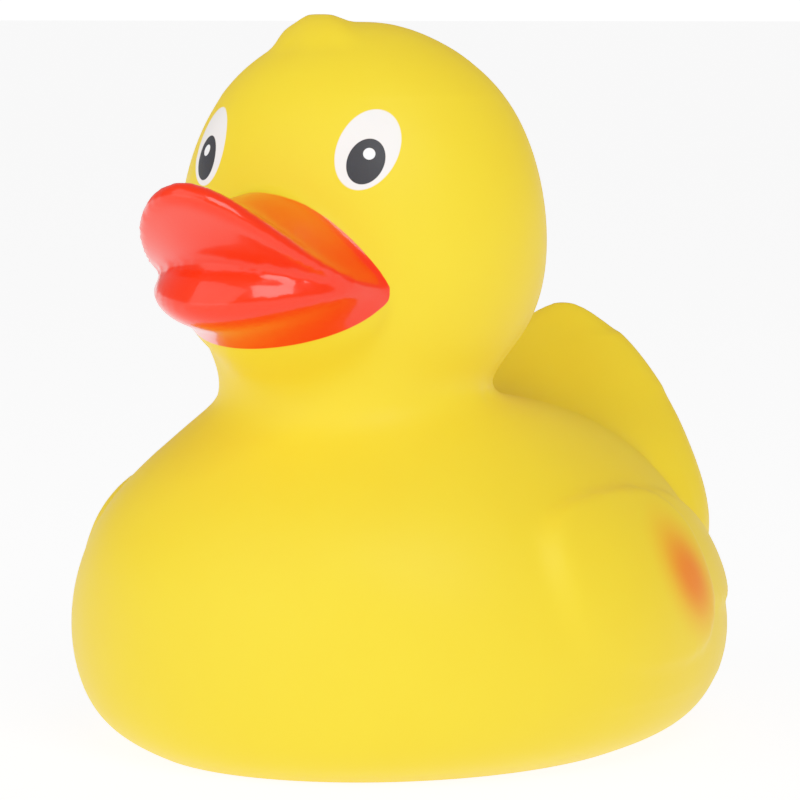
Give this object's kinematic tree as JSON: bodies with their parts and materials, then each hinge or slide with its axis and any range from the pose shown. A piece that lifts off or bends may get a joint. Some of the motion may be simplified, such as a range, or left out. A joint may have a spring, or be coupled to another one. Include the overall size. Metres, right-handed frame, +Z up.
{
  "type": "rubber duck",
  "caption": "Hollow soft-vinyl bath duck with an upturned beak, raised wings, upswept tail and a flat base with a vent hole.",
  "frame": {"origin": "bottom centre of the whole duck's box, on the flat face it stands on", "axes": "+Z up, the duck faces -Y, its left side is at +X"},
  "size_m": [0.0812, 0.096, 0.0901],
  "materials": {
    "vinyl": "matte yellow soft vinyl, with glossy orange-red paint on the beak, printed eyes and a soft orange tint on the wing tips"
  },
  "bodies": {
    "root": {"duck_body": "vinyl"}
  },
  "joints": []
}
